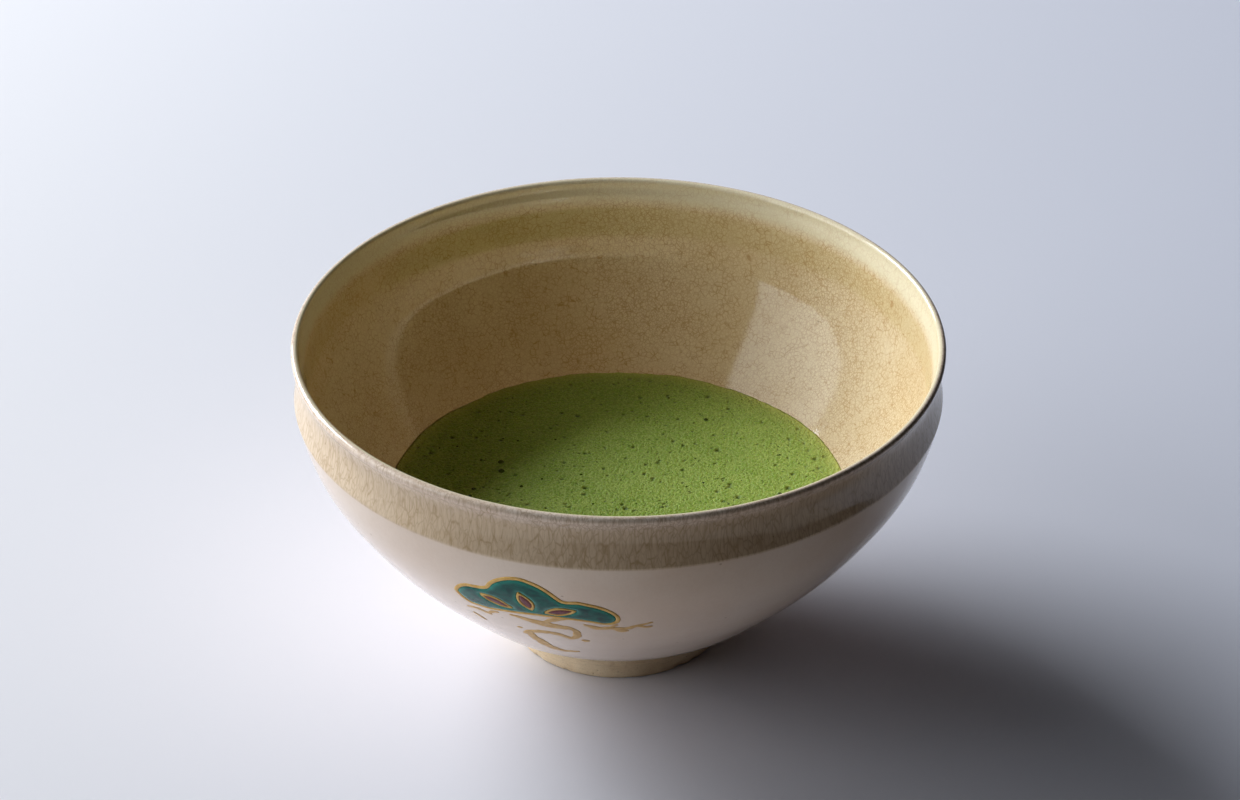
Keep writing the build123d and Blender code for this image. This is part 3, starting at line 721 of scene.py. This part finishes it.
RIGHT_BRANCH = [
    [(8.9, 42.4, 0.4), (10.1, 41.5, 0.8), (11.6, 40.9, 0.9), (13.2, 41.3, 0.7), (14.6, 40.9, 0.9), (16.3, 41.0, 0.7),
     (18.0, 42.0, 0.6), (19.6, 42.8, 0.5), (21.4, 43.7, 0.3)],
    [(14.5, 40.7, 0.7), (15.2, 39.9, 0.9), (16.2, 39.9, 0.5)],
    [(18.6, 42.2, 0.4), (20.0, 41.5, 0.6), (21.1, 41.7, 0.3)],
    [(13.2, 41.4, 0.4), (14.2, 42.4, 0.5), (14.9, 42.9, 0.3)],
]
DOTS = [(-4.6, 35.9, 0.55), (7.5, 33.0, 0.8)]


def catmull(pts, steps, closed):
    p = np.array(pts, float)
    n = len(p)
    out = []
    for i in range(n if closed else n - 1):
        if closed:
            q = [p[(i + k - 1) % n] for k in range(4)]
        else:
            q = [p[max(i - 1, 0)], p[i], p[i + 1], p[min(i + 2, n - 1)]]
        for s in range(steps):
            t = s / steps
            out.append(0.5 * (2 * q[1] + (q[2] - q[0]) * t + (2 * q[0] - 5 * q[1] + 4 * q[2] - q[3]) * t * t
                              + (3 * q[1] - q[0] - 3 * q[2] + q[3]) * t ** 3))
    if not closed:
        out.append(p[-1])
    return np.array(out)


def resample(outline, step):
    """A closed outline with points a given distance apart."""
    q = np.vstack([outline, outline[:1]])
    d = np.concatenate([[0], np.cumsum(np.hypot(*np.diff(q, axis=0).T))])
    count = max(8, int(round(d[-1] / step)))
    t = np.linspace(0, d[-1], count, endpoint=False)
    return np.stack([np.interp(t, d, q[:, 0]), np.interp(t, d, q[:, 1])], -1)


def shrink(pts, distance):
    area = np.sum(pts[:, 0] * np.roll(pts[:, 1], -1) - np.roll(pts[:, 0], -1) * pts[:, 1])
    d = np.roll(pts, -1, 0) - np.roll(pts, 1, 0)
    d /= np.maximum(np.hypot(d[:, 0], d[:, 1]), 1e-9)[:, None]
    sign = 1.0 if area > 0 else -1.0
    return np.stack([pts[:, 0] - sign * distance * d[:, 1], pts[:, 1] + sign * distance * d[:, 0]], -1)


def inset_lens(pts, distance):
    c = pts.mean(0)
    q = pts - c
    turn = 0.5 * math.atan2(2 * np.sum(q[:, 0] * q[:, 1]), np.sum(q[:, 0] ** 2) - np.sum(q[:, 1] ** 2))
    co, si = math.cos(turn), math.sin(turn)
    along, across = q[:, 0] * co + q[:, 1] * si, -q[:, 0] * si + q[:, 1] * co
    ka = 1 - 3.2 * distance / np.ptp(along)
    kc = 1 - 2 * distance / np.ptp(across)
    along, across = along * ka, across * kc
    return np.stack([c[0] + along * co - across * si, c[1] + along * si + across * co], -1)


def fuller(pts, factor):
    """The outline stretched by factor across its longer axis."""
    c = pts.mean(0)
    q = pts - c
    turn = 0.5 * math.atan2(2 * np.sum(q[:, 0] * q[:, 1]), np.sum(q[:, 0] ** 2) - np.sum(q[:, 1] ** 2))
    co, si = math.cos(turn), math.sin(turn)
    along, across = q[:, 0] * co + q[:, 1] * si, (-q[:, 0] * si + q[:, 1] * co) * factor
    return np.stack([c[0] + along * co - across * si, c[1] + along * si + across * co], -1)


def inside(pts, poly):
    x, y = pts[:, 0], pts[:, 1]
    hit = np.zeros(len(pts), bool)
    for (x0, y0), (x1, y1) in zip(poly, np.roll(poly, -1, 0)):
        cross = (y0 > y) != (y1 > y)
        with np.errstate(divide="ignore", invalid="ignore"):
            hit ^= cross & (x < (x1 - x0) * (y - y0) / (y1 - y0) + x0)
    return hit


def distance_to(pts, polys):
    best = np.full(len(pts), 1e9)
    for poly in polys:
        for a, b in zip(poly, np.roll(poly, -1, 0)):
            ab = b - a
            t = np.clip(((pts - a) @ ab) / max(ab @ ab, 1e-12), 0, 1)
            best = np.minimum(best, np.hypot(*(pts - a - t[:, None] * ab).T))
    return best


def stroke_outline(points, rough_seed, broad=1.0):
    """Outline of one brush stroke, a little ragged, with round ends."""
    fine = catmull(points, 6, False)
    c, w = fine[:, :2], fine[:, 2] * broad
    d = np.gradient(c, axis=0)
    d /= np.hypot(d[:, 0], d[:, 1])[:, None]
    n = np.stack([-d[:, 1], d[:, 0]], -1)
    s = np.concatenate([[0], np.cumsum(np.hypot(*np.diff(c, axis=0).T))])
    p3 = np.stack([s, 0 * s, 0 * s], -1)
    wl = w / 2 * (1 + 0.22 * vnoise(p3, 0.9, rough_seed))
    wr = w / 2 * (1 + 0.22 * vnoise(p3, 0.8, rough_seed + 1))
    left, right = c + n * wl[:, None], c - n * wr[:, None]
    end = [c[-1] + w[-1] / 2 * (math.sin(k) * d[-1] + math.cos(k) * n[-1]) for k in np.radians([30, 60, 90, 120, 150])]
    start = [c[0] + w[0] / 2 * (-math.sin(k) * d[0] - math.cos(k) * n[0]) for k in np.radians([30, 60, 90, 120, 150])]
    return np.vstack([left, end, right[::-1], start])


def on_wall(u, w, lift):
    """mm coordinates of wall points raised by lift along the wall's normal."""
    r = np.interp(w, belly_arc, belly_fine[:, 0])
    h = np.interp(w, belly_arc, belly_fine[:, 1])
    dr = np.interp(w + 0.3, belly_arc, belly_fine[:, 0]) - np.interp(w - 0.3, belly_arc, belly_fine[:, 0])
    dh = np.interp(w + 0.3, belly_arc, belly_fine[:, 1]) - np.interp(w - 0.3, belly_arc, belly_fine[:, 1])
    ln = np.hypot(dr, dh)
    az = MOTIF_AZ + u / r
    lift = lift + wobble(r, h, az)
    rr, hh = r + lift * dh / ln, h - lift * dr / ln
    return np.stack([rr * np.sin(az), -rr * np.cos(az), hh], -1)


def paint(name, outer, holes, thick, round_w, step, seed, bumps=0.0, sink=0.06):
    """A raised coat of paint on the wall inside the outer outlines, less the holes.

    outer is a list of outlines in wall coordinates that may overlap. The coat
    is thick away from its edges, rounds down over round_w, and is closed
    underneath, a little inside the glaze."""
    outers = [resample(o, step) for o in outer]
    hole_list = [resample(o, step) for o in holes]
    rings = outers + hole_list
    pts, edges = [], []
    for ring in rings:
        first = len(pts)
        pts += [tuple(q) for q in ring]
        edges += [(first + i, first + (i + 1) % len(ring)) for i in range(len(ring))]
    extra = []
    for d in (round_w * 0.12, round_w * 0.35, round_w * 0.7):
        for ring in rings:
            for side in (d, -d):
                extra.append(shrink(ring, side))
    allp = np.vstack(outers)
    lo, hi = allp.min(0), allp.max(0)
    gx, gy = np.meshgrid(np.arange(lo[0], hi[0], step * 1.6), np.arange(lo[1], hi[1], step * 1.6))
    gx = gx + (np.arange(gx.shape[0]) % 2)[:, None] * step * 0.8
    extra.append(np.stack([gx.ravel(), gy.ravel()], -1))
    extra = np.vstack(extra)
    ok = np.zeros(len(extra), bool)
    for o in outers:
        ok |= inside(extra, o)
    for o in hole_list:
        ok &= ~inside(extra, o)
    extra = extra[ok]
    extra = extra[distance_to(extra, rings) > round_w * 0.09]
    pts += [tuple(q) for q in extra]
    v, _, f, *_ = delaunay_2d_cdt([Vector(q) for q in pts], edges, [], 0, 1e-5)
    xy = np.array([(q[0], q[1]) for q in v])
    tri = np.array([t for t in f if len(t) == 3])
    mid = xy[tri].mean(1)
    keep = np.zeros(len(tri), bool)
    for o in outers:
        keep |= inside(mid, o)
    for o in hole_list:
        keep &= ~inside(mid, o)
    tri = tri[keep]
    used, flat = np.unique(tri, return_inverse=True)
    tri = flat.reshape(-1, 3)
    xy = xy[used]
    # boundary edges of the kept triangles are the coat's true outline
    count = {}
    for t in tri:
        for a, b in ((t[0], t[1]), (t[1], t[2]), (t[2], t[0])):
            count[(a, b)] = 1
    border = [(a, b) for (a, b) in count if (b, a) not in count]
    on_edge = np.zeros(len(xy), bool)
    for a, b in border:
        on_edge[a] = on_edge[b] = True
    ea = np.array([xy[a] for a, b in border])
    eb = np.array([xy[b] for a, b in border])
    dist = np.zeros(len(xy))
    for i in range(0, len(xy), 400):
        q = xy[i:i + 400][:, None, :]
        ab = (eb - ea)[None]
        t = np.clip(np.sum((q - ea[None]) * ab, 2) / np.maximum(np.sum(ab * ab, 2), 1e-12), 0, 1)
        dist[i:i + 400] = np.linalg.norm(q - ea[None] - t[..., None] * ab, axis=2).min(1)
    k = np.clip(dist / round_w, 0, 1)
    p3 = np.stack([xy[:, 0], xy[:, 1], 0 * xy[:, 0]], -1)
    lift = thick * np.sqrt(np.clip(1 - (1 - k) ** 2, 0, 1)) * (1 + bumps * vnoise(p3, 1.6, seed) * k)
    lift = np.where(on_edge, 0.012, lift + 0.012)
    top = on_wall(xy[:, 0], xy[:, 1], lift)
    low = on_wall(xy[:, 0], xy[:, 1], np.full(len(xy), -sink))
    n = len(xy)
    faces = [tuple(int(i) for i in t) for t in tri] + [tuple(int(n + i) for i in t[::-1]) for t in tri]
    faces += [(int(b), int(a), int(n + a), int(n + b)) for a, b in border]
    obj = new_object(name, np.vstack([top, low]) * MM, faces)
    numbers(obj, "depth", np.concatenate([np.clip(dist / round_w, 0, 4), np.zeros(n)]))
    numbers(obj, "spot", np.vstack([p3, p3]))
    return obj


def enamel_material():
    n = Nodes("green_enamel")
    spot = n.attribute("spot").outputs["Vector"]
    depth = n.attribute("depth").outputs["Fac"]
    streak = n.noise(n.vmath("MULTIPLY", spot, (0.55, 1.0, 1.0)), 0.75, 4.0, 0.6, 0.6).outputs["Fac"]
    base = n.mix(n.span(streak, 0.32, 0.68), srgb(2, 78, 72), srgb(8, 106, 96))
    base = n.mix(n.math("MULTIPLY", n.span(depth, 0.2, 1.6, 1.0, 0.0), 0.55), base, srgb(64, 172, 156))
    cloud = n.noise(spot, 0.35, 3.0).outputs["Fac"]
    base = n.mix(n.span(cloud, 0.48, 0.70, 0.0, 0.60), base, srgb(3, 52, 56))
    grain = n.noise(spot, 3.0, 2.0).outputs["Fac"]
    return n.shader(Base_Color=base, Roughness=0.10, IOR=1.25, Normal=n.bump(grain, 0.06, 0.0002))


def purple_material():
    n = Nodes("purple_enamel")
    spot = n.attribute("spot").outputs["Vector"]
    depth = n.attribute("depth").outputs["Fac"]
    streak = n.noise(n.vmath("MULTIPLY", spot, (1.0, 1.0, 1.0)), 2.2, 3.0, 0.6).outputs["Fac"]
    base = n.mix(n.span(streak, 0.35, 0.66), srgb(104, 42, 54), srgb(132, 66, 76))
    base = n.mix(n.math("MULTIPLY", n.span(depth, 0.1, 0.9, 1.0, 0.0), 0.5), base, srgb(150, 104, 96))
    return n.shader(Base_Color=base, Roughness=0.12, IOR=1.27, Normal=n.bump(streak, 0.08, 0.0002))


def gold_material(name, bright, dull, wear):
    n = Nodes(name)
    spot = n.attribute("spot").outputs["Vector"]
    brush = n.noise(n.vmath("MULTIPLY", spot, (0.6, 1.4, 1.0)), 1.6, 4.0, 0.65).outputs["Fac"]
    worn = n.math("MULTIPLY", n.span(brush, 0.48, 0.72), wear)
    base = n.mix(n.span(n.noise(spot, 0.7, 2.0).outputs["Fac"], 0.35, 0.65), bright, dull)
    base = n.mix(worn, base, srgb(206, 186, 158))
    grain = n.noise(spot, 5.0, 3.0, 0.6).outputs["Fac"]
    rough = n.span(grain, 0.3, 0.7, 0.38, 0.62)
    metal = n.math("SUBTRACT", 0.32, n.math("MULTIPLY", worn, 0.3))
    return n.shader(Base_Color=base, Roughness=rough, Metallic=metal, IOR=1.5, Normal=n.bump(grain, 0.25, 0.0001))


ENAMEL = enamel_material()
PURPLE = purple_material()
GOLD_LINE = gold_material("gilding_line", srgb(234, 192, 108), srgb(218, 170, 84), 0.35)
GOLD_WASH = gold_material("gilding_wash", srgb(226, 188, 126), srgb(212, 170, 104), 0.45)

cloud = catmull(CLOUD, 6, True)
cloud_in = shrink(resample(cloud, 0.3), 0.85)
win = {k: fuller(catmull(v, 6, True), f) for (k, v), f in zip(WINDOWS.items(), (1.55, 0.88, 1.25))}
win_in = {k: inset_lens(v, 0.55) for k, v in win.items()}

painted = []


def coat(name, node, outer, holes, thick, round_w, step, seed, material, bumps=0.0):
    obj = paint(name, outer, holes, thick, round_w, step, seed, bumps)
    obj.data.materials.append(material)
    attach(obj, "root")
    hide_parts(node)
    painted.append(obj)
    return obj


coat("enamel_foliage", "pine_foliage_enamel", [cloud_in], list(win.values()), 0.22, 0.8, 0.28, 61, ENAMEL, 0.12)
for side in win:
    coat("enamel_purple_" + side, "purple_enamel_" + side, [win_in[side]], [], 0.24, 0.4, 0.16, 62, PURPLE, 0.1)
coat("gold_outline", "gold_cloud_outline", [cloud], [cloud_in], 0.17, 0.35, 0.22, 63, GOLD_LINE, 0.3)
coat("gold_window_lines", "gold_window_outlines", list(win.values()), list(win_in.values()), 0.24, 0.22, 0.16, 64,
     GOLD_LINE, 0.3)
coat("gold_trunk_strokes", "gold_trunk", [stroke_outline(s, 70 + 2 * i, 1.65) for i, s in enumerate(TRUNK)], [cloud], 0.09,
     0.3, 0.2, 65, GOLD_WASH, 0.4)
coat("gold_twigs", "gold_left_twigs", [stroke_outline(s, 80 + 2 * i, 1.6) for i, s in enumerate(LEFT_TWIGS)], [cloud], 0.07,
     0.2, 0.16, 66, GOLD_WASH, 0.4)
coat("gold_branch", "gold_right_branch", [stroke_outline(s, 90 + 2 * i, 1.7) for i, s in enumerate(RIGHT_BRANCH)], [cloud],
     0.08, 0.22, 0.16, 67, GOLD_WASH, 0.4)
coat("gold_spots", "gold_dots", [np.array([(u + q * math.cos(t) * (1 + 0.1 * math.sin(3 * t)), w + 0.85 * q * math.sin(t))
                                           for t in np.linspace(0, 2 * math.pi, 24, endpoint=False)])
                                 for u, w, q in DOTS], [], 0.09, 0.3, 0.16, 68, GOLD_WASH, 0.3)

# ----------------------------------------------------------- riding, and hiding the replaced nodes
for obj, nodes, slot in ((clay_wall, ("clay_body",), "clay"), (foot, ("foot_ring",), "bare_clay"),
                         (glaze_outside, ("outer_glaze",), "glaze"), (glaze_inside, ("inner_glaze",), "glaze"),
                         (foam, ("matcha_foam",), "foam")):
    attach(obj, "root")
    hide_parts(*nodes)
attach(bubbles, "root")

# ------------------------------------------------------------ floor and light
def floor_material():
    n = Nodes("paper_floor")
    p = n.place()
    tooth = n.noise(p, 0.9, 4.0, 0.6).outputs["Fac"]
    slow = n.noise(p, 0.004, 2.0).outputs["Fac"]
    split = n.t.nodes.new("ShaderNodeSeparateXYZ")
    n.put(split.inputs[0], p)
    # Painted shade: the floor is painted slightly darker and bluer towards the right, a fall-off of the light across
    # it.
    across = n.span(split.outputs[0], -220.0, 260.0, 0.0, 1.0, smooth=False)
    base = n.mix(across, srgb(231, 228, 230), srgb(222, 224, 240))
    # Painted shade: towards the front the floor is painted warmer and then darker tan, so it bounces and reflects
    # dimmer, warmer light onto the bowl.
    base = n.mix(n.span(split.outputs[1], -125.0, -58.0, 1.0, 0.0), base, srgb(240, 226, 214))
    base = n.mix(n.span(split.outputs[1], -200.0, -78.0, 1.0, 0.0), base, srgb(204, 193, 183))
    return n.shader(Base_Color=base, Roughness=0.75, IOR=1.35, Normal=n.bump(tooth, 0.08, 0.0003))


def flat_sheet(name, x0, x1, y0, y1, z):
    return new_object(name, [(x0, y0, z), (x1, y0, z), (x1, y1, z), (x0, y1, z)], [(0, 1, 2, 3)], smooth=False)


floor = flat_sheet("floor", -1.6, 0.272, -0.205, 1.9, 0.0)
floor.data.materials.append(floor_material())

world = bpy.data.worlds.new("room")
world.use_nodes = True
scene.world = world
wt = world.node_tree
wt.nodes.clear()
w_out = wt.nodes.new("ShaderNodeOutputWorld")
seen_bg = wt.nodes.new("ShaderNodeBackground")
seen_bg.inputs[0].default_value = srgb(206, 212, 226)
lit_bg = wt.nodes.new("ShaderNodeBackground")
lit_bg.inputs[0].default_value = (1.0, 0.78, 0.70, 1.0)
lit_bg.inputs[1].default_value = 0.004
path = wt.nodes.new("ShaderNodeLightPath")
pick = wt.nodes.new("ShaderNodeMixShader")
wt.links.new(path.outputs["Is Camera Ray"], pick.inputs[0])
wt.links.new(lit_bg.outputs[0], pick.inputs[1])
wt.links.new(seen_bg.outputs[0], pick.inputs[2])
wt.links.new(pick.outputs[0], w_out.inputs["Surface"])


def panel(name, centre, look_at, width, height, radiance, colour, roll=0.0):
    """A soft light of the given size whose face has the given brightness."""
    data = bpy.data.lights.new(name, "AREA")
    data.shape, data.size, data.size_y = "RECTANGLE", width, height
    data.color = colour
    data.energy = radiance * math.pi * width * height
    obj = bpy.data.objects.new(name, data)
    aim = (Vector(look_at) - Vector(centre)).to_track_quat("-Z", "Y").to_matrix().to_4x4()
    obj.matrix_world = Matrix.Translation(Vector(centre)) @ aim @ Matrix.Rotation(math.radians(roll), 4, "Z")
    obj.visible_camera = False
    scene.collection.objects.link(obj)
    return obj


def around(azimuth, elevation, distance):
    """A place seen from the bowl at an azimuth from the front towards +X, in degrees."""
    a, e = math.radians(azimuth), math.radians(elevation)
    return (distance * math.sin(a) * math.cos(e), -distance * math.cos(a) * math.cos(e), distance * math.sin(e))


key = panel("key", around(-131, 30, 1.4), (0.0, 0.0, 0.03), 0.80, 0.70, 15.3, (0.90, 0.955, 1.0))
side_x, side_y, _ = around(-84, 0, 1.0)
for name, height, radiance in (("side", 1.00, 1.85), ("side_low", 0.76, 1.35)):
    panel(name, (side_x, side_y, 0.07 + height / 2), (0.0, 0.0, 0.07 + height / 2), 0.98, height, radiance,
          (0.90, 0.955, 1.0), roll=12.0)

# --------------------------------------------------------------- the camera
cam_data = bpy.data.cameras.new("camera")
cam = bpy.data.objects.new("camera", cam_data)
scene.collection.objects.link(cam)
cam_data.sensor_fit, cam_data.sensor_width = "HORIZONTAL", 36.0
cam_data.lens = 4200.0 * 36.0 / 1240.0
cam_data.clip_start, cam_data.clip_end = 0.01, 20.0
tilt, roll = math.radians(32.3159), math.radians(0.0825)
fwd = Vector((0, math.cos(tilt), -math.sin(tilt)))
right = Vector((1, 0, 0))
up = Vector((0, math.sin(tilt), math.cos(tilt)))
cam_x = right * math.cos(roll) + up * math.sin(roll)
cam_y = up * math.cos(roll) - right * math.sin(roll)
turn = Matrix((cam_x, cam_y, -fwd)).transposed()
cam.matrix_world = Matrix.Translation(Vector((0.33454, -684.0504, 483.8127)) * MM) @ turn.to_4x4()
scene.camera = cam
scene.view_settings.view_transform = "Standard"
scene.view_settings.look = "None"
